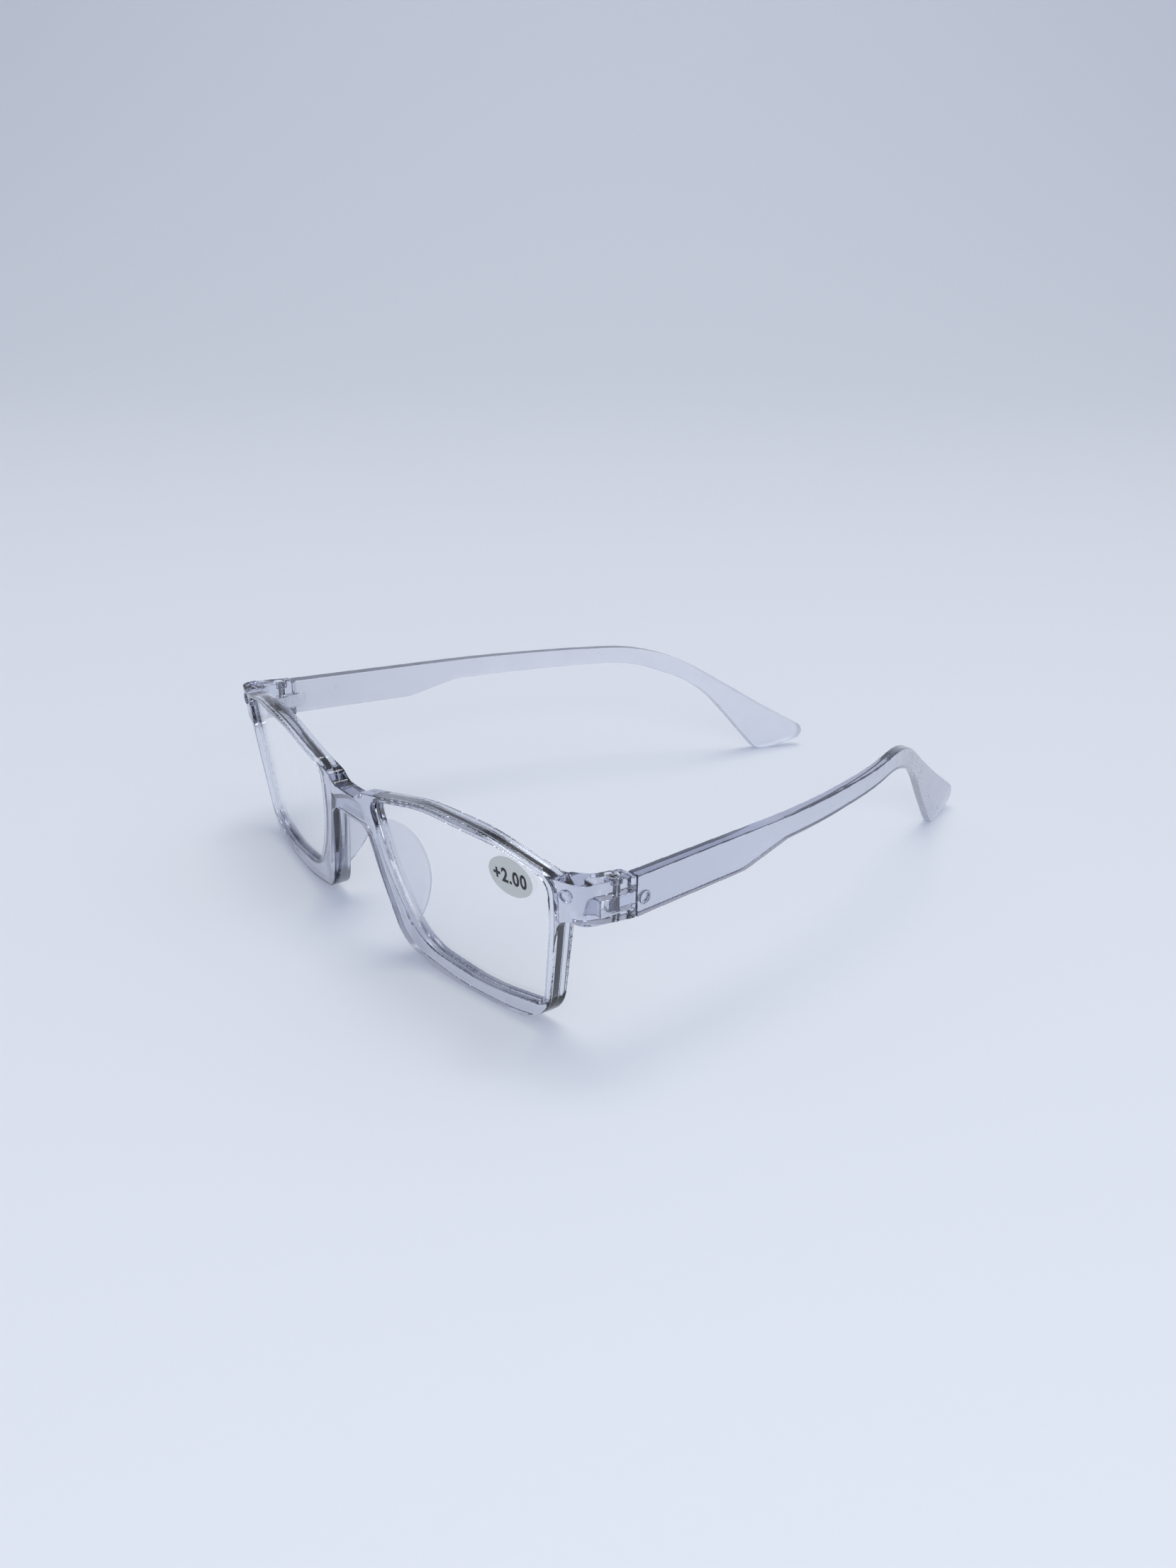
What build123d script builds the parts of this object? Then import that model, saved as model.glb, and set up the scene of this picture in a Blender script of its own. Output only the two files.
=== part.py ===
from build123d import *
import os
from math import atan, degrees, radians, tan

# Clear moulded reading glasses, open, standing on the lower rims and the temple tips.
# Lengths are in millimetres. +X is the wearer's left, the front faces -Y, +Z is up.
# While the pieces are drawn, y = 0 lies near the outer front corners. At the end everything
# moves along Y, so that the origin is the bottom centre of the whole object.

# ---- front ----
lens_width = 51.8            # clear opening, across
lens_height = 34.3           # clear opening, top to bottom
bridge_gap = 21.2            # nearest distance between the two openings
rim_top = 1.5                # rim above the opening
rim_bottom = 3.9             # rim below the opening
rim_outer = 2.0              # rim at the temporal side
rim_nasal = 3.6              # rim at the nose side
rim_depth = 4.0              # front to back
front_radius = 255.0         # plan curve of the front
front_tilt = 7.5             # degrees: the lower edge stands nearer the face
bridge_height = 5.9          # bridge, top to bottom
bridge_drop = 7.0            # bridge top below the highest point of the rims
bridge_step = 2.0            # step from the bridge top up to the rims
web_radius = 3.2             # web under the end piece

# ---- end pieces and hinges ----
end_height = 8.5             # top to bottom
end_drop = 5.3               # top, below the highest point of the rims
end_fall = 1.0               # the seam end lies lower than the front end by this much
end_reach = 6.4              # beyond the temporal rim
end_corner = 3.0             # rounded outer front corner
seam_setback = 12.3          # seam behind the front surface at the outer side
seam_gap = 0.1               # between end piece and open temple
end_inner = 1.9              # inner side, inside the hinge axis
hinge_inset = 2.8            # hinge axis inside the outer side
hinge_lead = 3.7             # hinge axis in front of the seam
ear_lower = 1.8              # lower ear, top to bottom
tongue_height = 3.3
tongue_radius = 1.9
tongue_inset = 1.3           # tongue root, inside the hinge axis
slot_clearance = 0.12        # tongue in its slot, all round
slot_lead = 4.3              # slot in front of the hinge axis
screw_radius = 0.8
screw_clearance = 0.04       # tongue turning on the screw
screw_head_radius = 1.35
screw_head_height = 0.9
screw_tip_gap = 0.5          # left under the tip of the screw
head_clearance = 0.12        # head in its counterbore, and its top below flush
driver_slot = 0.35           # cross slot, width and depth

# ---- temples ----
temple_length = 138.5        # seam to the end of the tip, along Y
temple_thickness = 3.2       # at the seam
temple_thin = 2.5            # behind the paddle
temple_height = 8.4          # at the seam
temple_top_drop = 0.1        # temple top below the end piece top
temple_toe = 0.137           # outer face runs inward by this much per unit of length
paddle_length = 31.0         # seam to the step in the lower edge
paddle_drop = 0.6            # lower edge sinks this much along the paddle
step_length = 13.0
step_rise = 2.8
arm_fall = 2.3               # top edge sinks this much up to the ear bend
ear_length = 46.5            # ear bend, at the lower edge, to the end of the tip
tip_length = 13.0            # tip foot, where the arm meets the table, to the end of the tip

# ---- nose pads, lenses, studs and label ----
pad_depth = 6.9              # fin behind the rim
pad_thickness = 1.7
pad_edge = 0.6               # rounded edge of the fin
pad_flare = 0.6              # fin leans away from the nose by this much
lens_thickness = 1.6
lens_setback = 1.1           # behind the front surface of the rim
lens_bite = 0.7              # held this deep in the groove
groove_clearance = 0.06
stud_radius = 1.3
stud_depth = 1.2
stud_proud = 0.08
stud_clearance = 0.03
front_stud_inset = 3.9       # inside the outer side
front_stud_drop = 2.9        # below the top of the end piece, at its front end
temple_stud_setback = 2.1    # behind the seam
label_width = 10.9
label_height = 8.2
label_thickness = 0.12
label_inset = 10.0           # label centre inside the temporal edge of the opening
label_drop = 6.8             # label centre below the top edge of the opening

# ---- places that follow from the sizes ----
half_gap = bridge_gap / 2
opening_outer = half_gap + lens_width
opening_top = rim_bottom + lens_height
total_height = opening_top + rim_top
half_width = opening_outer + rim_outer + end_reach
plate_edge = half_width - 0.8 * end_corner
end_top = total_height - end_drop
end_bottom = end_top - end_height
end_middle = end_top - end_height / 2
plate_top = end_top + end_fall
plate_bottom = end_bottom + end_fall
bridge_top = total_height - bridge_drop
slope = tan(radians(front_tilt))
front_sag = half_width**2 / (2 * front_radius)
seam_y = seam_setback
round_radius = hinge_lead - seam_gap
hinge_x = half_width - hinge_inset
hinge_y = seam_y - hinge_lead
slot_bottom = end_bottom + ear_lower
tongue_bottom = slot_bottom + slot_clearance
tongue_top = tongue_bottom + tongue_height
slot_top = tongue_top + slot_clearance
stud_z = plate_top - front_stud_drop
tool = 400.0                 # length of cutting and crossing blocks


def front_y(x, z):
    """Depth of the curved and tilted front surface at a place seen from the front."""
    return x * x / (2 * front_radius) - front_sag + slope * (end_middle - z)


def rounded_face(corners):
    """A flat face from corners (u, v, radius)."""
    points = [(u, v) for u, v, radius in corners]
    radii = [radius for u, v, radius in corners]
    face = make_face(FilletPolyline(*points, radius=radii, close=True)).face()
    return face if face.normal_at().Z > 0 else -face


def both_sides(corners):
    """Corners of the right half, followed by their mirror images."""
    return corners + [(-u, v, radius) for u, v, radius in reversed(corners)]


def through_depth(face):
    """A prism along Y from a face drawn in X and Z."""
    return extrude(Plane.XZ * face, tool / 2, both=True)


def tilted(solid):
    """Move a solid drawn round the front's centre line into its tilted place."""
    return Pos(0, -front_sag, end_middle) * Rot(front_tilt, 0, 0) * solid


def curved_sheet(setback, depth):
    """The sheet between two depths behind the curved front surface."""
    outer = Cylinder(front_radius - setback, tool)
    inner = Cylinder(front_radius - setback - depth, tool)
    sheet = Pos(0, front_radius, 0) * (outer - inner)
    return tilted(sheet & Box(3 * half_width, front_radius, tool))


def upright(radius, x, y, low, high):
    """A vertical cylinder between two heights."""
    return Pos(x, y, (low + high) / 2) * Cylinder(radius, high - low)


def block(x, y, z):
    """A box between pairs of limits."""
    middle = Pos(sum(x) / 2, sum(y) / 2, sum(z) / 2)
    return middle * Box(x[1] - x[0], y[1] - y[0], z[1] - z[0])


def opening_corners():
    """Corners of one lens opening, from the nose side over the top and round."""
    shares = [
        (0.000, 0.885, 3.0),
        (0.365, 1.005, 40.0),
        (0.780, 0.980, 30.0),
        (1.004, 0.885, 3.5),
        (0.994, 0.627, 60.0),
        (0.915, 0.046, 4.0),
        (0.602, -0.004, 60.0),
        (0.236, 0.049, 12.0),
        (0.067, 0.410, 40.0),
    ]
    return [(half_gap + u * lens_width, rim_bottom + v * lens_height, r) for u, v, r in shares]


def front_outline():
    """Outline of the front as seen from the front, without the outer ends of the end pieces."""
    opening = opening_corners()
    low_outer = opening[5]
    low_inner = opening[7]
    nose_side = opening[8]
    right = [
        (0.42 * half_gap, bridge_top, 2.5),
        (0.62 * half_gap, bridge_top + bridge_step, 3.5),
        (half_gap + 0.355 * lens_width, total_height, 45.0),
        (half_gap + 0.680 * lens_width, total_height, 40.0),
        (opening_outer + 0.4, plate_top, 12.0),
        (plate_edge, plate_top, 0),
        (plate_edge, plate_bottom, 0),
        (opening_outer + rim_outer, plate_bottom, web_radius),
        (low_outer[0] + 0.2 * rim_outer, 1.7, 9.5),
        (half_gap + 0.720 * lens_width, 0, 40.0),
        (half_gap + 0.404 * lens_width, 0, 40.0),
        (low_inner[0] - 2.1 * rim_nasal, 2.4, 8.0),
        (nose_side[0] - 1.05 * rim_nasal, nose_side[1] - 2.0, 30.0),
        (0.68 * half_gap, bridge_top - bridge_height, 3.5),
    ]
    return rounded_face(both_sides(right))


def end_piece():
    """The right end piece: a block from the front surface back to the seam."""
    inner = hinge_x - end_inner
    rear_of_rim = front_y(inner, end_middle) + rim_depth
    ahead = front_y(inner, end_top) - rim_depth
    plan = [
        (inner - 2.6, ahead, 0),
        (half_width, ahead, 0),
        (half_width, seam_y - seam_gap, 0),
        (inner, seam_y - seam_gap, 0),
        (inner, rear_of_rim + 2.6, 3.0),
        (inner - 2.6, rear_of_rim - 0.6, 0),
    ]
    side = [
        (ahead, plate_bottom, 0),
        (rear_of_rim, plate_bottom, 0),
        (seam_y, end_bottom, 0),
        (seam_y, end_top, 0),
        (rear_of_rim, plate_top, 0),
        (ahead, plate_top, 0),
    ]
    solid = extrude(rounded_face(plan), tool / 4) & extrude(Plane.YZ * rounded_face(side), tool)
    solid = solid & tilted(Pos(0, front_radius, 0) * Cylinder(front_radius, tool))
    front_corner = solid.edges().group_by(Axis.X)[-1].sort_by(Axis.Y)[0]
    return fillet(front_corner, end_corner)


def hinge_cuts():
    """What is taken out of the right end piece for the tongue and the screw."""
    far = half_width + end_reach
    quarter = block((0, hinge_x), (hinge_y, far), (end_bottom - 1, end_top + 1))
    quarter = quarter & block((hinge_x - hinge_lead - 1, far), (0, far), (0, tool))
    quarter -= upright(round_radius, hinge_x, hinge_y, end_bottom - 2, end_top + 2)
    slot_outer = hinge_x + tongue_radius + slot_clearance
    slot = block((opening_outer, slot_outer), (hinge_y - slot_lead, far), (slot_bottom, slot_top))
    hole_low = end_bottom + screw_tip_gap
    hole = upright(screw_radius, hinge_x, hinge_y, hole_low, end_top + 1)
    seat = end_top - head_clearance - screw_head_height
    counterbore = upright(screw_head_radius + head_clearance, hinge_x, hinge_y, seat, end_top + 1)
    return [quarter, slot, hole, counterbore]


def nose_pad():
    """The right nose pad: a thin fin that leans back and away from the nose."""
    opening = opening_corners()
    nose_side = opening[8]
    root = 0.8 * rim_depth

    def place(x, z, depth):
        return Vector(x, front_y(x, z) + depth, z)

    high = place(0.80 * half_gap, bridge_top - bridge_height + 2.0, root)
    low = place(opening[7][0] - 1.6 * rim_nasal, rim_bottom + 2.7, root)
    middle_x = nose_side[0] - rim_nasal / 2
    crest = place(middle_x + pad_flare, nose_side[1] + 1.0, rim_depth + pad_depth)
    along = (high - low).normalized()
    length = (high - low).length
    normal = along.cross(crest - low).normalized()
    plane = Plane(origin=low, x_dir=along, z_dir=normal)
    depth = plane.to_local_coords(crest).Y
    curve = Spline(
        [(0, 0), (0.12 * length, 0.50 * depth), (0.27 * length, 0.83 * depth),
         (0.53 * length, depth), (0.86 * length, 0.68 * depth), (length, 0)]
    )
    face = make_face([curve, Line((length, 0), (0, 0))])
    fin = extrude(face, pad_thickness / 2, both=True)
    edges = fin.edges().filter_by(GeomType.BSPLINE)
    fin = fillet(edges, pad_edge)
    return plane * fin


def front_stud_place():
    """Where the right front stud sits: its axis is square to the front surface."""
    x = half_width - front_stud_inset
    turn = degrees(atan(x / front_radius))
    return Pos(x, front_y(x, stud_z), stud_z) * Rot(front_tilt, 0, 0) * Rot(0, 0, turn) * Rot(90, 0, 0)


def temple_stud_place():
    """Where the right temple stud sits on the flat outer face."""
    x = half_width - temple_toe * temple_stud_setback
    z = (tongue_bottom + tongue_top) / 2
    turn = -degrees(atan(temple_toe))
    return Pos(x, seam_y + temple_stud_setback, z) * Rot(0, 0, -turn) * Rot(0, 90, 0)


def stud(radius, depth, proud):
    """A round stud along Z, its top a little proud of z = 0."""
    return upright(radius, 0, 0, -depth, proud)


def temple_side():
    """Side view of a temple, in Y and Z."""
    top = end_top - temple_top_drop
    bottom = top - temple_height
    low = bottom - paddle_drop
    tip_end = seam_y + temple_length
    tip_foot = tip_end - tip_length
    bend = tip_end - ear_length
    arm_low = low + step_rise
    corners = [
        (seam_y, top, 0.5),
        (bend + 7.0, top - arm_fall, 40.0),
        (tip_end - 12.5, 13.6, 25.0),
        (tip_end + 0.9, 5.2, 2.6),
        (tip_end - 1.1, 2.0, 2.4),
        (tip_foot + 3.6, 0, 6.0),
        (tip_foot, 0, 3.0),
        (bend + 17.0, arm_low - 7.2, 30.0),
        (bend, arm_low - 0.2, 30.0),
        (seam_y + paddle_length + step_length, arm_low, 12.0),
        (seam_y + paddle_length, low, 12.0),
        (seam_y, bottom, 0.5),
    ]
    return rounded_face(corners)


def temple_plan():
    """Plan view of a temple, in runs that bow inward: length, run inward, corner radius."""
    runs = [
        (0.38 * temple_length, temple_toe, 1.30 * temple_length),
        (0.22 * temple_length, 0.290, 0.866 * temple_length),
        (0.23 * temple_length, 0.530, 0.866 * temple_length),
        (0.20 * temple_length, 0.370, 0),
    ]
    x = half_width
    y = seam_y
    outer = [(x, y, 0)]
    inner = [(x - temple_thickness, y, 0)]
    for run, turn_in, radius in runs:
        x -= turn_in * run
        y += run
        outer.append((x, y, radius))
        inner.append((x - temple_thin, y, radius))
    return rounded_face(outer + inner[::-1])


def temple():
    """The right temple with its hinge tongue."""
    side = extrude(Plane.YZ * temple_side(), tool / 2, both=True)
    arm = side & extrude(temple_plan(), tool / 4)
    inner = half_width - temple_thickness
    root = [
        (hinge_x - tongue_inset, hinge_y, 0),
        (hinge_x + tongue_radius, hinge_y, 0),
        (hinge_x + tongue_radius, seam_y + 1.0, 0),
        (inner, seam_y + 3.0, 0),
        (hinge_x - tongue_inset, seam_y, 0),
    ]
    link = Pos(0, 0, tongue_bottom) * extrude(rounded_face(root), tongue_height)
    knuckle = upright(tongue_radius, hinge_x, hinge_y, tongue_bottom, tongue_top)
    bore = upright(screw_radius + screw_clearance, hinge_x, hinge_y, slot_bottom, slot_top)
    seat = temple_stud_place() * stud(stud_radius + stud_clearance, stud_depth, 1.0)
    return arm + link + knuckle - bore - seat


def hinge_screw():
    """A headed screw, standing in the right hinge, head up."""
    head_top = end_top - head_clearance
    head_low = head_top - screw_head_height
    head = upright(screw_head_radius, hinge_x, hinge_y, head_low, head_top)
    shank = upright(screw_radius, hinge_x, hinge_y, end_bottom + screw_tip_gap, head_low)
    long_way = 4 * screw_head_radius
    cross = Box(long_way, driver_slot, 2 * driver_slot) + Box(driver_slot, long_way, 2 * driver_slot)
    return head + shank - Pos(hinge_x, hinge_y, head_top) * cross


def lens_outline(bite):
    """The lens opening grown by a bite into the rim."""
    return offset(rounded_face(opening_corners()), bite)


def lens():
    """The right lens."""
    return through_depth(lens_outline(lens_bite)) & curved_sheet(lens_setback, lens_thickness)


def lens_groove():
    """The groove that the right lens sits in."""
    outline = lens_outline(lens_bite + groove_clearance)
    width = lens_thickness + 2 * groove_clearance
    return through_depth(outline) & curved_sheet(lens_setback - groove_clearance, width)


def power_label():
    """The oval strength label on the wearer's left lens."""
    oval = Ellipse(label_width / 2, label_height / 2)
    place = Pos(opening_outer - label_inset, opening_top - label_drop)
    sheet = curved_sheet(lens_setback - label_thickness, label_thickness)
    return through_depth(place * oval) & sheet


def front_frame():
    """Rims, bridge, nose pads and end pieces in one moulding."""
    body = through_depth(front_outline()) & curved_sheet(0, rim_depth)
    opening = through_depth(rounded_face(opening_corners()))
    for flip in (False, True):
        body -= mirrored(opening, flip)
        body += mirrored(end_piece(), flip)
    stud_seat = front_stud_place() * stud(stud_radius + stud_clearance, stud_depth, 1.0)
    for flip in (False, True):
        body += mirrored(nose_pad(), flip)
        body -= mirrored(lens_groove(), flip)
        body -= mirrored(stud_seat, flip)
        for cut in hinge_cuts():
            body -= mirrored(cut, flip)
    return body


def mirrored(solid, flip):
    """The solid itself, or its mirror image across the middle."""
    return mirror(solid, about=Plane.YZ) if flip else solid


nodes = {"front_frame": front_frame(), "power_label": power_label()}
for side, flip in (("left", False), ("right", True)):
    nodes["lens_" + side] = mirrored(lens(), flip)
    nodes["temple_" + side] = mirrored(temple(), flip)
    nodes["hinge_screw_" + side] = mirrored(hinge_screw(), flip)
    front_stud = front_stud_place() * stud(stud_radius, stud_depth, stud_proud)
    nodes["front_stud_" + side] = mirrored(front_stud, flip)
    temple_stud = temple_stud_place() * stud(stud_radius, stud_depth, stud_proud)
    nodes["temple_stud_" + side] = mirrored(temple_stud, flip)

boxes = [solid.bounding_box() for solid in nodes.values()]
front_limit = min(box.min.Y for box in boxes)
back_limit = max(box.max.Y for box in boxes)
shift = -(front_limit + back_limit) / 2

os.makedirs("parts", exist_ok=True)
for name, solid in nodes.items():
    export_step(Pos(0, shift, 0) * solid, f"parts/{name}.step")
    print(name, "solids", len(solid.solids()), "volume", round(solid.volume, 1))

print("hinge axis", round(hinge_x, 3), round(hinge_y + shift, 3), "shift", round(shift, 3))
print("temple outer face at", round(half_width, 3), round(seam_y + shift, 3))
print("lowest front", round(nodes["front_frame"].bounding_box().min.Z, 4))
print("lowest temple", round(nodes["temple_left"].bounding_box().min.Z, 4))
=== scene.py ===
import math

import bmesh
import bpy
from mathutils import Matrix, Vector


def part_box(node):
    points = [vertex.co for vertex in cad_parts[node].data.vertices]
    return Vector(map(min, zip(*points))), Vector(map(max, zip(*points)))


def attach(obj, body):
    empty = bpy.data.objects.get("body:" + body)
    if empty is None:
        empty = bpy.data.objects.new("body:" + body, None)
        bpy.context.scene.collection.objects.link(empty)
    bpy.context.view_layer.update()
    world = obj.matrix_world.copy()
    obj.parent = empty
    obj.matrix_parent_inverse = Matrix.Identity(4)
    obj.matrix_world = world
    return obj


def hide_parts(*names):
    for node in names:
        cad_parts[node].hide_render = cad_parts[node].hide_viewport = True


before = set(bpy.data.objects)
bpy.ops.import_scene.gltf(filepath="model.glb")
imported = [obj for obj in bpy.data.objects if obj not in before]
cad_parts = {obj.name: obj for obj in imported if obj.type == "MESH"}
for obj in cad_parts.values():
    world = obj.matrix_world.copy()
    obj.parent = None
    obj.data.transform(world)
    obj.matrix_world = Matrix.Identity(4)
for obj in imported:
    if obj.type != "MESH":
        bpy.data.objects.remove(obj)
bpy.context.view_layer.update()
print("frame loaded:", len(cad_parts), "nodes")

mm = 0.001


def newMaterial(name):
    material = bpy.data.materials.new(name)
    material.use_nodes = True
    tree = material.node_tree
    return material, tree, tree.nodes["Principled BSDF"], tree.nodes["Material Output"]


def addNode(tree, kind, **settings):
    node = tree.nodes.new(kind)
    for key, value in settings.items():
        setattr(node, key, value)
    return node


def setInputs(node, values):
    for key, value in values.items():
        node.inputs[key].default_value = value


def link(tree, source, target):
    tree.links.new(source, target)


def objectPoint(tree):
    return addNode(tree, "ShaderNodeTexCoord").outputs["Object"]


def splitVector(tree, vector):
    node = addNode(tree, "ShaderNodeSeparateXYZ")
    link(tree, vector, node.inputs["Vector"])
    return node.outputs


def noise(tree, point, scale, detail=3.0, roughness=0.55, stretch=None):
    source = point
    if stretch is not None:  # grain drawn out along one axis
        mapping = addNode(tree, "ShaderNodeMapping")
        mapping.inputs["Scale"].default_value = stretch
        link(tree, point, mapping.inputs["Vector"])
        source = mapping.outputs["Vector"]
    texture = addNode(tree, "ShaderNodeTexNoise")
    setInputs(texture, {"Scale": scale, "Detail": detail, "Roughness": roughness})
    link(tree, source, texture.inputs["Vector"])
    return texture.outputs["Fac"]


def mapRange(tree, value, low, high, toLow=0.0, toHigh=1.0, smooth=False):
    node = addNode(tree, "ShaderNodeMapRange")
    if smooth:
        node.interpolation_type = "SMOOTHSTEP"
    setInputs(node, {"From Min": low, "From Max": high, "To Min": toLow, "To Max": toHigh})
    link(tree, value, node.inputs["Value"])
    return node.outputs["Result"]


def colourRamp(tree, value, target, colours, positions=(0.0, 1.0)):
    node = addNode(tree, "ShaderNodeValToRGB")
    for element, colour, position in zip(node.color_ramp.elements, colours, positions):
        element.position = position
        element.color = colour
    link(tree, value, node.inputs["Fac"])
    link(tree, node.outputs["Color"], target)


def combine(tree, operation, first, second):
    node = addNode(tree, "ShaderNodeMath", operation=operation)
    for socket, value in zip(node.inputs, (first, second)):
        if isinstance(value, (int, float)):
            socket.default_value = value
        else:
            link(tree, value, socket)
    return node.outputs["Value"]


def facingValue(tree, vector, direction):
    node = addNode(tree, "ShaderNodeVectorMath", operation="DOT_PRODUCT")
    link(tree, vector, node.inputs[0])
    node.inputs[1].default_value = direction
    return node.outputs["Value"]


def bump(tree, heights, shader):
    normal = None
    for height, strength, distance in heights:
        node = addNode(tree, "ShaderNodeBump")
        setInputs(node, {"Strength": strength, "Distance": distance})
        link(tree, height, node.inputs["Height"])
        if normal is not None:
            link(tree, normal, node.inputs["Normal"])
        normal = node.outputs["Normal"]
    link(tree, normal, shader.inputs["Normal"])


def letLampsThrough(tree, shader, output, tint):
    # light from the lamps passes the clear plastic, so it drops only a pale shadow
    path = addNode(tree, "ShaderNodeLightPath")
    clear = addNode(tree, "ShaderNodeBsdfTransparent")
    clear.inputs["Color"].default_value = tint
    mix = addNode(tree, "ShaderNodeMixShader")
    link(tree, path.outputs["Is Shadow Ray"], mix.inputs["Fac"])
    link(tree, shader.outputs["BSDF"], mix.inputs[1])
    link(tree, clear.outputs["BSDF"], mix.inputs[2])
    link(tree, mix.outputs["Shader"], output.inputs["Surface"])


def absorb(tree, output, colour, density):
    volume = addNode(tree, "ShaderNodeVolumeAbsorption")
    setInputs(volume, {"Color": colour, "Density": density})
    link(tree, volume.outputs["Volume"], output.inputs["Volume"])


plasticLook = {
    "tint": (0.935, 0.952, 0.99, 1),
    "ior": 1.49,
    "smoke": (0.52, 0.54, 0.67, 1),   # what is left of white light deep in the plastic
    "frontSmoke": 115.0,              # how dense the smoke is
    "templeSmoke": 155.0,
    "studSmoke": 60.0,
    "shadow": (0.82, 0.84, 0.88, 1),
    "clearRoughness": 0.02,
    "smearScale": 160.0,              # faint handling marks
    "smearRoughness": 0.06,
    "satinRoughness": (0.32, 0.50),
    "satinClearness": 0.50,           # the rest of the light is scattered white
    "cloudScale": 130.0,              # the satin is thinner in places
    "cloudThinnest": 0.82,
    "rippleScale": 900.0,
    "rippleStrength": 0.06,
    "rippleDepth": 0.1 * mm,
    "speckScale": 2600.0,
    "speckStrength": 0.16,
    "speckDepth": 0.04 * mm,
}


def clearPlastic(name, density, satinMask=None):
    look = plasticLook
    material, tree, shader, output = newMaterial(name)
    setInputs(shader, {"Base Color": look["tint"], "IOR": look["ior"], "Transmission Weight": 1.0})
    point = objectPoint(tree)
    ripple = noise(tree, point, look["rippleScale"], 2.0)
    heights = [(ripple, look["rippleStrength"], look["rippleDepth"])]
    marks = noise(tree, point, look["smearScale"])
    smear = mapRange(tree, marks, 0.45, 0.75, 0.0, look["smearRoughness"])
    roughness = combine(tree, "ADD", smear, look["clearRoughness"])
    if satinMask is not None:
        patches = noise(tree, point, look["cloudScale"])
        cloud = mapRange(tree, patches, 0.35, 0.65, look["cloudThinnest"], 1.0)
        satin = combine(tree, "MULTIPLY", satinMask(tree, point), cloud)
        speck = noise(tree, point, look["speckScale"], 2.0, 0.7)
        grain = mapRange(tree, speck, 0.3, 0.7, *look["satinRoughness"])
        roughness = combine(tree, "MAXIMUM", roughness, combine(tree, "MULTIPLY", satin, grain))
        speckHeight = combine(tree, "MULTIPLY", speck, satin)
        heights.append((speckHeight, look["speckStrength"], look["speckDepth"]))
        clearness = mapRange(tree, satin, 0.0, 1.0, 1.0, look["satinClearness"])
        link(tree, clearness, shader.inputs["Transmission Weight"])
    bump(tree, heights, shader)
    link(tree, roughness, shader.inputs["Roughness"])
    absorb(tree, output, look["smoke"], density)
    letLampsThrough(tree, shader, output, look["shadow"])
    return material


finSatin = {
    "back": (-75.6 * mm, -75.0 * mm),  # each pair is where the satin begins to change and ends
    "aside": (19 * mm, 22 * mm),
    "high": (27 * mm, 29 * mm),
    "strength": 0.42,
}


def finMask(tree, point):
    # the nose fins: behind the rims, close to the middle, below the bridge
    look = finSatin
    split = splitVector(tree, point)
    aside = combine(tree, "ABSOLUTE", split["X"], 0.0)
    back = mapRange(tree, split["Y"], *look["back"], smooth=True)
    near = mapRange(tree, aside, *look["aside"], 1.0, 0.0)
    low = mapRange(tree, split["Z"], *look["high"], 1.0, 0.0)
    inside = combine(tree, "MULTIPLY", combine(tree, "MULTIPLY", back, near), low)
    return combine(tree, "MULTIPLY", inside, look["strength"])


templeSatin = {
    "inward": (0.6, 0.8),              # how squarely a face looks toward the head
    "tip": (30 * mm, 52 * mm),         # from clear to satin, along the temple
    "tipStrength": 0.85,
}


def templeMask(sign):
    # the inner face of a temple and its whole tip are satin
    look = templeSatin

    def mask(tree, point):
        normal = splitVector(tree, addNode(tree, "ShaderNodeTexCoord").outputs["Normal"])
        facing = combine(tree, "MULTIPLY", normal["X"], -sign)
        inward = mapRange(tree, facing, *look["inward"])
        along = splitVector(tree, point)["Y"]
        tip = mapRange(tree, along, *look["tip"], 0.0, look["tipStrength"], smooth=True)
        return combine(tree, "MAXIMUM", inward, tip)
    return mask


lensLook = {
    "tint": (0.992, 0.996, 0.998, 1),
    "ior": 1.50,
    "shadow": (0.95, 0.955, 0.97, 1),
    "wipeScale": 60.0,                 # faint upright wiping marks
    "wipeStretch": (1.0, 1.0, 0.15),
    "wipeRoughness": 0.02,
}


def lensMaterial():
    look = lensLook
    material, tree, shader, output = newMaterial("lensClear")
    setInputs(shader, {"Base Color": look["tint"], "IOR": look["ior"], "Transmission Weight": 1.0})
    wipe = noise(tree, objectPoint(tree), look["wipeScale"], 2.0, 0.5, look["wipeStretch"])
    roughness = mapRange(tree, wipe, 0.5, 0.8, 0.0, look["wipeRoughness"])
    link(tree, roughness, shader.inputs["Roughness"])
    letLampsThrough(tree, shader, output, look["shadow"])
    return material


steelLook = {
    "colours": ((0.16, 0.16, 0.18, 1), (0.52, 0.52, 0.55, 1)),
    "roughness": (0.22, 0.42),
    "turningScale": 900.0,
    "turningStretch": (0.25, 0.25, 4.0),  # rings round the upright screw
    "turningStrength": 0.2,
    "turningDepth": 0.02 * mm,
}


def steelMaterial():
    look = steelLook
    material, tree, shader, output = newMaterial("screwSteel")
    shader.inputs["Metallic"].default_value = 1.0
    turning = noise(tree, objectPoint(tree), look["turningScale"], 3.0, 0.6, look["turningStretch"])
    colourRamp(tree, turning, shader.inputs["Base Color"], look["colours"])
    link(tree, mapRange(tree, turning, 0.3, 0.7, *look["roughness"]), shader.inputs["Roughness"])
    bump(tree, [(turning, look["turningStrength"], look["turningDepth"])], shader)
    return material


labelLook = {
    "colours": ((0.72, 0.74, 0.71, 1), (0.84, 0.86, 0.83, 1)),
    "roughness": (0.42, 0.6),
    "clearness": 0.3,                  # a thin film, so its back is not black
    "fibreScale": 3500.0,
    "fibreStrength": 0.15,
    "fibreDepth": 0.02 * mm,
}


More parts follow.
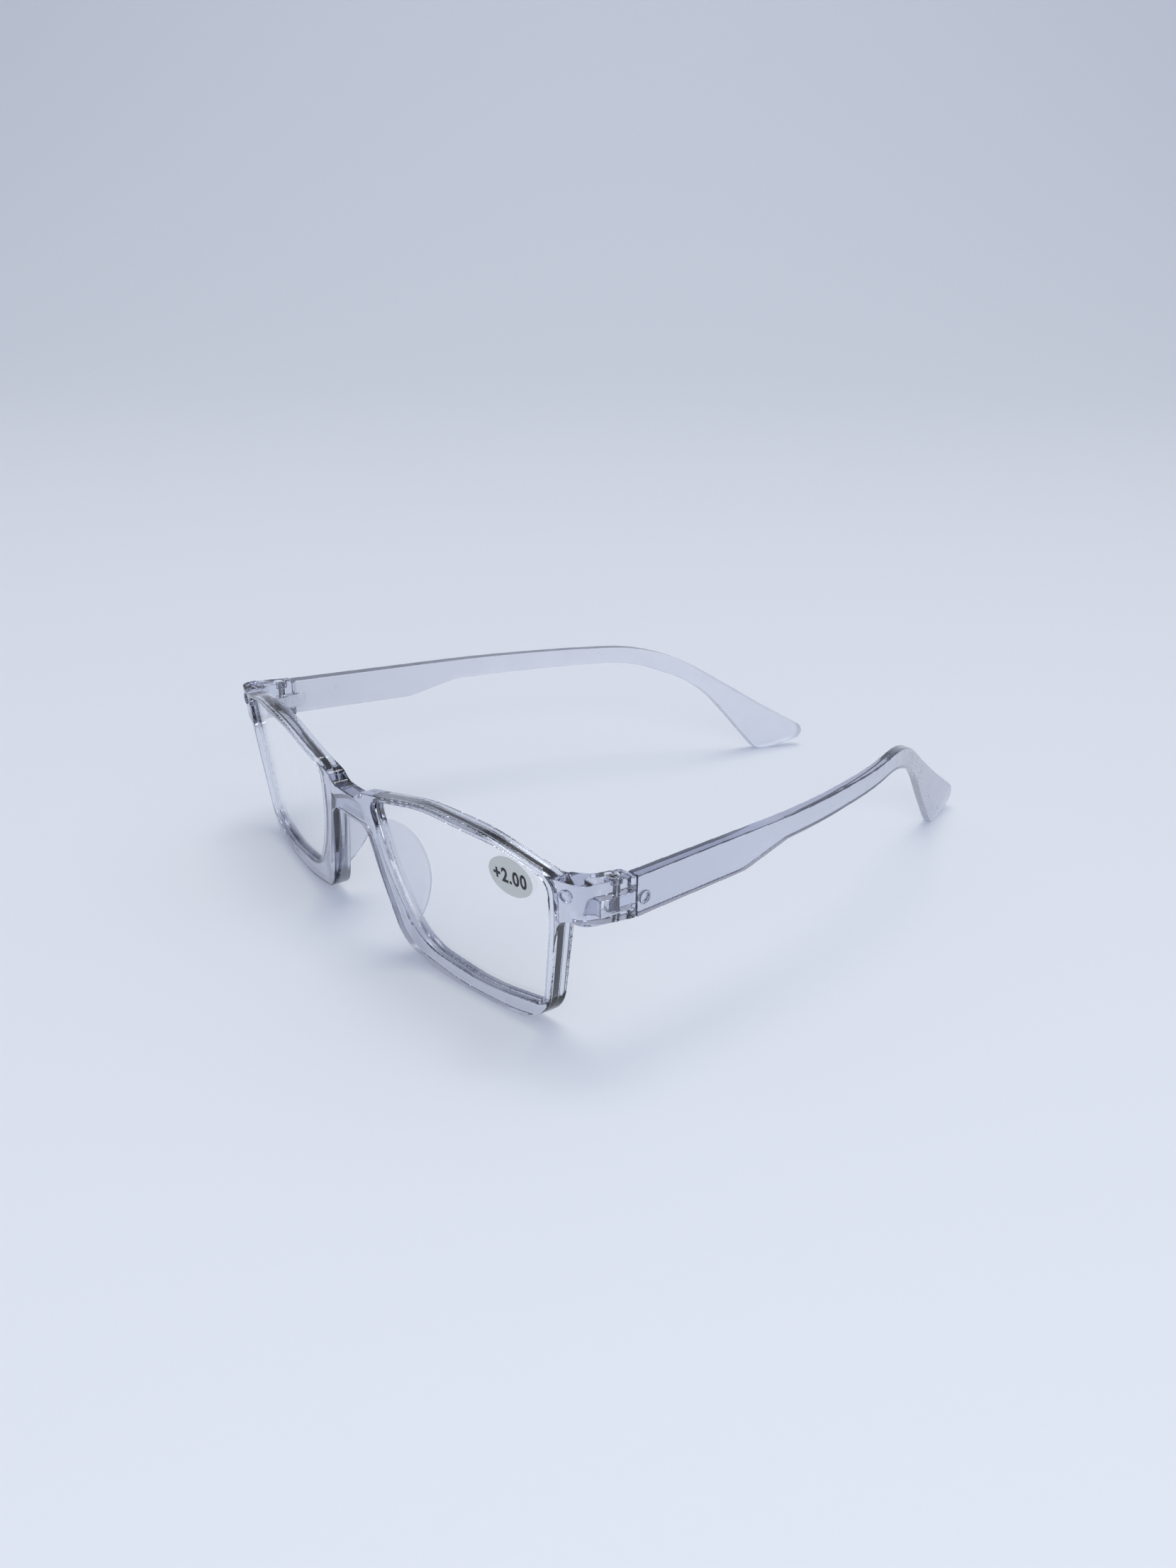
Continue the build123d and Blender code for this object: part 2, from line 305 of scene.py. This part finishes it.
def labelMaterial():
    look = labelLook
    material, tree, shader, output = newMaterial("labelFilm")
    shader.inputs["Transmission Weight"].default_value = look["clearness"]
    fibre = noise(tree, objectPoint(tree), look["fibreScale"], 4.0, 0.6)
    colourRamp(tree, fibre, shader.inputs["Base Color"], look["colours"])
    link(tree, mapRange(tree, fibre, 0.3, 0.7, *look["roughness"]), shader.inputs["Roughness"])
    bump(tree, [(fibre, look["fibreStrength"], look["fibreDepth"])], shader)
    return material


inkLook = {
    "colours": ((0.012, 0.012, 0.014, 1), (0.035, 0.035, 0.04, 1)),
    "roughness": 0.5,
    "dotScale": 4000.0,
}


def inkMaterial():
    material, tree, shader, output = newMaterial("labelInk")
    dots = noise(tree, objectPoint(tree), inkLook["dotScale"], 2.0)
    colourRamp(tree, dots, shader.inputs["Base Color"], inkLook["colours"])
    shader.inputs["Roughness"].default_value = inkLook["roughness"]
    return material


frontPlastic = clearPlastic("frontPlastic", plasticLook["frontSmoke"], finMask)
templePlastic = {
    "left": clearPlastic("templePlasticLeft", plasticLook["templeSmoke"], templeMask(1)),
    "right": clearPlastic("templePlasticRight", plasticLook["templeSmoke"], templeMask(-1)),
}
studPlastic = clearPlastic("studPlastic", plasticLook["studSmoke"])
lensClear = lensMaterial()
screwSteel = steelMaterial()
labelFilm = labelMaterial()
labelInk = inkMaterial()
print("materials made")


def addObject(name, mesh, material):
    piece = bpy.data.objects.new(name, mesh)
    bpy.context.scene.collection.objects.link(piece)
    mesh.materials.clear()
    mesh.materials.append(material)
    return piece


def finishMesh(shape, mesh):
    # hand a built shape over to its mesh, with every face looking out
    bmesh.ops.recalc_face_normals(shape, faces=shape.faces[:])
    shape.to_mesh(mesh)
    shape.free()


def shadeSmooth(mesh):
    for polygon in mesh.polygons:
        polygon.use_smooth = True


moulding = {"voxel": 0.16 * mm, "smoothing": 12}


def softened(name, node, material):
    # a closed copy of the node with every edge slightly rounded, as a moulding has
    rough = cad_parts[node].data.copy()
    piece = addObject(name, rough, material)
    remesh = piece.modifiers.new("remesh", "REMESH")
    remesh.mode = "VOXEL"
    remesh.voxel_size = moulding["voxel"]
    smooth = piece.modifiers.new("smooth", "SMOOTH")
    smooth.iterations = moulding["smoothing"]
    graph = bpy.context.evaluated_depsgraph_get()
    fine = bpy.data.meshes.new_from_object(piece.evaluated_get(graph))
    piece.modifiers.clear()
    piece.data = fine
    bpy.data.meshes.remove(rough)
    fine.materials.clear()
    fine.materials.append(material)
    shadeSmooth(fine)
    return piece


front = softened("frontMoulding", "front_frame", frontPlastic)
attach(front, "front")
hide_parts("front_frame")
print("front moulding:", len(front.data.polygons), "faces")

for side in ("left", "right"):
    temple = softened("templeMoulding_" + side, "temple_" + side, templePlastic[side])
    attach(temple, side + "_temple")
    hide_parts("temple_" + side)
    print("temple moulding:", side, len(temple.data.polygons), "faces")

plain = {
    "lens_left": lensClear,
    "lens_right": lensClear,
    "power_label": labelFilm,
    "hinge_screw_left": screwSteel,
    "hinge_screw_right": screwSteel,
}
for node, material in plain.items():
    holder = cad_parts[node]
    if holder.material_slots:
        for slot in holder.material_slots:
            slot.material = material
    else:
        holder.data.materials.append(material)
print("cad nodes dressed:", len(plain))


stud = {
    "segments": 64,
    "profile": [                       # share of the radius, and of the height from the bottom
        (0.0, 0.0), (0.94, 0.0), (1.0, 0.05), (1.0, 0.94), (0.97, 0.985), (0.91, 1.0),
        (0.82, 0.985), (0.74, 0.93), (0.60, 0.84), (0.40, 0.76), (0.20, 0.72), (0.0, 0.71),
    ],
    "leanStep": 0.01,                  # of the search for the plug's axis
    "leanSteps": 45,                   # each way
}


def studAxis(points, middle, outward):
    # the direction in which the plug is shortest, pointing out of the moulding
    upward = Vector((0, 0, 1))
    sideways = outward.cross(upward)
    steps = stud["leanSteps"]
    leans = [stud["leanStep"] * step for step in range(-steps, steps + 1)]
    trials = [
        (outward + sideways * first + upward * second).normalized()
        for first in leans for second in leans
    ]

    def spread(trial):
        heights = [(point - middle).dot(trial) for point in points]
        return sum(height * height for height in heights)

    return min(trials, key=spread)


def dimpledStud(name, node, outward):
    # a round plug with a rounded rim and a shallow dimple in its top
    points = [vertex.co.copy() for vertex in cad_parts[node].data.vertices]
    middle = sum(points, Vector()) / len(points)
    axis = studAxis(points, middle, outward)
    heights = [(point - middle).dot(axis) for point in points]
    bottom = min(heights)
    height = max(heights) - bottom
    radius = max(((point - middle) - axis * (point - middle).dot(axis)).length for point in points)
    across = axis.orthogonal().normalized()
    beside = axis.cross(across)
    segments = stud["segments"]
    shape = bmesh.new()
    rings = []
    for share, level in stud["profile"]:
        centre = middle + axis * (bottom + level * height)
        if share == 0.0:
            rings.append([shape.verts.new(centre)] * segments)
            continue
        ring = []
        for step in range(segments):
            angle = 2 * math.pi * step / segments
            offset = across * math.cos(angle) + beside * math.sin(angle)
            ring.append(shape.verts.new(centre + offset * share * radius))
        rings.append(ring)
    for lower, upper in zip(rings, rings[1:]):
        for step in range(segments):
            following = (step + 1) % segments
            corners = [lower[step], lower[following], upper[following], upper[step]]
            shape.faces.new(list(dict.fromkeys(corners)))  # at a pole two corners are one
    mesh = bpy.data.meshes.new(name)
    finishMesh(shape, mesh)
    shadeSmooth(mesh)
    return addObject(name, mesh, studPlastic)


for side, sign in (("left", 1), ("right", -1)):
    frontStud = dimpledStud("frontPlug_" + side, "front_stud_" + side, Vector((0, -1, 0)))
    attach(frontStud, "front")
    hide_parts("front_stud_" + side)
    templeStud = dimpledStud("templePlug_" + side, "temple_stud_" + side, Vector((sign, 0, 0)))
    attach(templeStud, side + "_temple")
    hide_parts("temple_stud_" + side)
print("studs made")


number = {
    "text": "+2.00",
    "height": 3.1 * mm,
    "widthShare": 0.80,
    "thickness": 0.04 * mm,
    "inkShare": 0.8,                   # of the thickness; the rest is a gap before the film
    "weight": 0.03,
    "spacing": 1.14,
    "curveSteps": 6,
    "lookFrom": 10 * mm,               # ahead of the label, to find its surface
}


def numberMesh():
    curve = bpy.data.curves.new("numberCurve", "FONT")
    curve.body = number["text"]
    curve.align_x = "CENTER"
    curve.align_y = "CENTER"
    curve.offset = number["weight"]
    curve.space_character = number["spacing"]
    curve.fill_mode = "FRONT"
    curve.resolution_u = number["curveSteps"]
    holder = bpy.data.objects.new("numberHolder", curve)
    bpy.context.scene.collection.objects.link(holder)
    graph = bpy.context.evaluated_depsgraph_get()
    mesh = bpy.data.meshes.new_from_object(holder.evaluated_get(graph))
    bpy.data.objects.remove(holder)
    return mesh


def labelNumber():
    # flat digits laid on the curved front of the label, and thickened
    low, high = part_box("power_label")
    middle = (Vector(low) + Vector(high)) / 2
    mesh = numberMesh()
    widths = [vertex.co.x for vertex in mesh.vertices]
    heights = [vertex.co.y for vertex in mesh.vertices]
    scale = number["height"] / (max(heights) - min(heights))
    centre = ((min(widths) + max(widths)) / 2, (min(heights) + max(heights)) / 2)
    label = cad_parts["power_label"]
    ahead = low[1] - number["lookFrom"]
    shape = bmesh.new()
    shape.from_mesh(mesh)
    for vertex in shape.verts:
        across = (vertex.co.x - centre[0]) * scale * number["widthShare"]
        upward = (vertex.co.y - centre[1]) * scale
        start = Vector((middle.x + across, ahead, middle.z + upward))
        place = label.ray_cast(start, Vector((0, 1, 0)))[1]
        vertex.co = place + Vector((0, -number["thickness"], 0))
    grown = bmesh.ops.extrude_face_region(shape, geom=shape.faces[:])
    for item in grown["geom"]:
        if isinstance(item, bmesh.types.BMVert):
            item.co.y += number["inkShare"] * number["thickness"]
    finishMesh(shape, mesh)
    return addObject("labelNumber", mesh, labelInk)


digits = labelNumber()
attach(digits, "front")
print("number made")


view = {
    "place": (264.8 * mm, -215.2 * mm, 154.3 * mm),
    "azimuth": 53.09,
    "elevation": 22.19,
    "roll": 0.63,
    "lens": 23.16,
    "sensorHeight": 24,
    "nearest": 0.01,
}


def addCamera():
    azimuth = math.radians(view["azimuth"])
    elevation = math.radians(view["elevation"])
    roll = math.radians(view["roll"])
    back = Vector((
        math.sin(azimuth) * math.cos(elevation),
        -math.cos(azimuth) * math.cos(elevation),
        math.sin(elevation),
    ))
    right = Vector((math.cos(azimuth), math.sin(azimuth), 0))
    up = back.cross(right)
    turnedRight = math.cos(roll) * right + math.sin(roll) * up
    turnedUp = math.cos(roll) * up - math.sin(roll) * right
    data = bpy.data.cameras.new("camera")
    data.sensor_fit = "VERTICAL"
    data.sensor_height = view["sensorHeight"]
    data.lens = view["lens"]
    data.clip_start = view["nearest"]
    camera = bpy.data.objects.new("camera", data)
    bpy.context.scene.collection.objects.link(camera)
    turn = Matrix((turnedRight, turnedUp, back)).transposed()
    camera.matrix_world = Matrix.Translation(view["place"]) @ turn.to_4x4()
    bpy.context.scene.camera = camera


addCamera()
print("camera set")


backdrop = {
    "nearColour": (0.70, 0.725, 0.765, 1),
    # painted shade: the paper is darkened away from the camera, standing in for the weaker light on
    # the far sweep
    "farPaintedShade": (0.62, 0.65, 0.70, 1),
    "fade": (0.10, 1.0),               # where the painted shade begins and is full
    "grainScale": 300.0,
    "roughness": (0.6, 0.75),
    "start": 0.75,                     # of the rising curve, behind the object
    "radius": 1.1,
    "halfWidth": 3.0,
    "frontReach": 2.2,
    "arcSteps": 24,
    "arcShare": 0.56,                  # of a quarter circle
}


def sweepProfile():
    # floor and rising curve, as distance away from the camera and height
    start = backdrop["start"]
    radius = backdrop["radius"]
    steps = backdrop["arcSteps"]
    profile = [(-backdrop["frontReach"], 0.0), (0.0, 0.0), (start, 0.0)]
    for step in range(1, steps + 1):
        angle = backdrop["arcShare"] * math.pi / 2 * step / steps
        profile.append((start + radius * math.sin(angle), radius * (1 - math.cos(angle))))
    return profile


def sweepMaterial(away):
    material, tree, shader, output = newMaterial("sweepPaper")
    # painted shade: the paper's colour darkens with distance from the camera
    distance = facingValue(tree, objectPoint(tree), away)
    fade = mapRange(tree, distance, *backdrop["fade"], smooth=True)
    colours = (backdrop["nearColour"], backdrop["farPaintedShade"])
    colourRamp(tree, fade, shader.inputs["Base Color"], colours)
    grain = noise(tree, objectPoint(tree), backdrop["grainScale"])
    link(tree, mapRange(tree, grain, 0.3, 0.7, *backdrop["roughness"]), shader.inputs["Roughness"])
    return material


def addSweep():
    azimuth = math.radians(view["azimuth"])
    away = Vector((-math.sin(azimuth), math.cos(azimuth), 0))
    along = Vector((away.y, -away.x, 0))
    shape = bmesh.new()
    rows = []
    for distance, height in sweepProfile():
        row = []
        for side in (-1, 0, 1):
            place = away * distance + along * side * backdrop["halfWidth"]
            row.append(shape.verts.new((place.x, place.y, height)))
        rows.append(row)
    for first, second in zip(rows, rows[1:]):
        for index in range(2):
            shape.faces.new((first[index], first[index + 1], second[index + 1], second[index]))
    mesh = bpy.data.meshes.new("sweep")
    finishMesh(shape, mesh)
    shadeSmooth(mesh)
    sweep = addObject("sweep", mesh, sweepMaterial(away))


room = {
    "ceiling": (0.42, 0.44, 0.50, 1),
    "walls": (0.10, 0.125, 0.215, 1),  # they draw the dark edges in the plastic
    "brightSide": (-0.42, 0.34, 0.84),
    "fade": (0.60, 0.88),              # from the walls up to the ceiling
    "strength": 1.0,
}


def addRoom():
    world = bpy.data.worlds.new("studio")
    world.use_nodes = True
    tree = world.node_tree
    background = tree.nodes["Background"]
    direction = addNode(tree, "ShaderNodeTexCoord").outputs["Generated"]
    facing = facingValue(tree, direction, Vector(room["brightSide"]).normalized())
    share = mapRange(tree, facing, -1.0, 1.0)
    colours = (room["walls"], room["ceiling"])
    colourRamp(tree, share, background.inputs["Color"], colours, room["fade"])
    background.inputs["Strength"].default_value = room["strength"]
    bpy.context.scene.world = world


lamps = {
    "lamp": {
        "place": (-0.5, 0.4, 2.6),
        "target": (0, 0, 0),
        "size": (1.5, 1.5),
        "power": 41.0,
        "colour": (0.98, 0.99, 1.0),
    },
    "card": {
        "place": (0.95, -0.45, 0.42),
        "target": (0, 0, 0.03),
        "size": (1.3, 0.7),
        "power": 8.6,
        "colour": (0.93, 0.965, 1.0),
    },
}


def addLamp(name, lamp):
    data = bpy.data.lights.new(name, "AREA")
    data.shape = "RECTANGLE"
    data.size, data.size_y = lamp["size"]
    data.energy = lamp["power"]
    data.color = lamp["colour"]
    light = bpy.data.objects.new(name, data)
    light.location = lamp["place"]
    aim = Vector(lamp["target"]) - Vector(lamp["place"])
    light.rotation_euler = aim.to_track_quat("-Z", "Y").to_euler()
    bpy.context.scene.collection.objects.link(light)


addSweep()
addRoom()
for name, lamp in lamps.items():
    addLamp(name, lamp)
scene = bpy.context.scene
scene.view_settings.view_transform = "Standard"
scene.cycles.caustics_reflective = False
scene.cycles.caustics_refractive = False
scene.cycles.max_bounces = 24
scene.cycles.transmission_bounces = 20
scene.cycles.transparent_max_bounces = 24
print("studio set")
